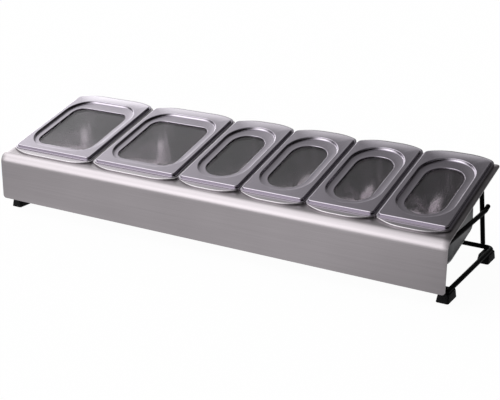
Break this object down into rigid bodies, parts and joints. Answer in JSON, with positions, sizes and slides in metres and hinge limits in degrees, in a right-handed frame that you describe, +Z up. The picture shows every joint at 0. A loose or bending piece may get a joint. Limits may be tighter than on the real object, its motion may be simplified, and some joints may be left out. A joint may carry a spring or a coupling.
{
  "type": "topping station",
  "caption": "Countertop topping station: lidded steel pans hung in a sloping folded steel deck on a bent wire frame with rubber feet.",
  "frame": {"origin": "middle of the outer size left to right and front to back, on the table", "axes": "+X to the right along the row of pans seen from the front, +Y to the back, +Z up"},
  "size_m": [0.77, 0.2154, 0.1545],
  "materials": {
    "deck_steel": "stainless sheet, brushed lengthways, satin",
    "pan_steel": "deep drawn stainless sheet, satin",
    "lid_steel": "pressed stainless sheet, satin",
    "window_plastic": "clear, polished",
    "wire_coat": "black powder coat, satin",
    "foot_rubber": "black, matt"
  },
  "bodies": {
    "station": {"steel_deck": "deck_steel", "base_wire": "wire_coat", "side_wire_left": "wire_coat", "side_wire_right": "wire_coat", "rear_post_left": "wire_coat", "rear_post_right": "wire_coat", "foot_front_left": "foot_rubber", "foot_front_right": "foot_rubber", "foot_rear_left": "foot_rubber", "foot_rear_right": "foot_rubber"},
    "pan_large_1": {"pan_large_1": "pan_steel"},
    "lid_large_1": {"lid_large_1": "lid_steel", "window_large_1": "window_plastic"},
    "pan_large_2": {"pan_large_2": "pan_steel"},
    "lid_large_2": {"lid_large_2": "lid_steel", "window_large_2": "window_plastic"},
    "pan_small_1": {"pan_small_1": "pan_steel"},
    "lid_small_1": {"lid_small_1": "lid_steel", "window_small_1": "window_plastic"},
    "pan_small_2": {"pan_small_2": "pan_steel"},
    "lid_small_2": {"lid_small_2": "lid_steel", "window_small_2": "window_plastic"},
    "pan_small_3": {"pan_small_3": "pan_steel"},
    "lid_small_3": {"lid_small_3": "lid_steel", "window_small_3": "window_plastic"},
    "pan_small_4": {"pan_small_4": "pan_steel"},
    "lid_small_4": {"lid_small_4": "lid_steel", "window_small_4": "window_plastic"}
  },
  "joints": [
    {"name": "pan_large_1_lift", "type": "slide", "parent": "station", "child": "pan_large_1", "axis": [0, -0.2672, 0.9636], "range_m": [0, 0.11]},
    {"name": "lid_large_1_lift", "type": "slide", "parent": "pan_large_1", "child": "lid_large_1", "axis": [0, -0.2672, 0.9636], "range_m": [0, 0.06]},
    {"name": "pan_large_2_lift", "type": "slide", "parent": "station", "child": "pan_large_2", "axis": [0, -0.2672, 0.9636], "range_m": [0, 0.11]},
    {"name": "lid_large_2_lift", "type": "slide", "parent": "pan_large_2", "child": "lid_large_2", "axis": [0, -0.2672, 0.9636], "range_m": [0, 0.06]},
    {"name": "pan_small_1_lift", "type": "slide", "parent": "station", "child": "pan_small_1", "axis": [0, -0.2672, 0.9636], "range_m": [0, 0.11]},
    {"name": "lid_small_1_lift", "type": "slide", "parent": "pan_small_1", "child": "lid_small_1", "axis": [0, -0.2672, 0.9636], "range_m": [0, 0.06]},
    {"name": "pan_small_2_lift", "type": "slide", "parent": "station", "child": "pan_small_2", "axis": [0, -0.2672, 0.9636], "range_m": [0, 0.11]},
    {"name": "lid_small_2_lift", "type": "slide", "parent": "pan_small_2", "child": "lid_small_2", "axis": [0, -0.2672, 0.9636], "range_m": [0, 0.06]},
    {"name": "pan_small_3_lift", "type": "slide", "parent": "station", "child": "pan_small_3", "axis": [0, -0.2672, 0.9636], "range_m": [0, 0.11]},
    {"name": "lid_small_3_lift", "type": "slide", "parent": "pan_small_3", "child": "lid_small_3", "axis": [0, -0.2672, 0.9636], "range_m": [0, 0.06]},
    {"name": "pan_small_4_lift", "type": "slide", "parent": "station", "child": "pan_small_4", "axis": [0, -0.2672, 0.9636], "range_m": [0, 0.11]},
    {"name": "lid_small_4_lift", "type": "slide", "parent": "pan_small_4", "child": "lid_small_4", "axis": [0, -0.2672, 0.9636], "range_m": [0, 0.06]}
  ]
}
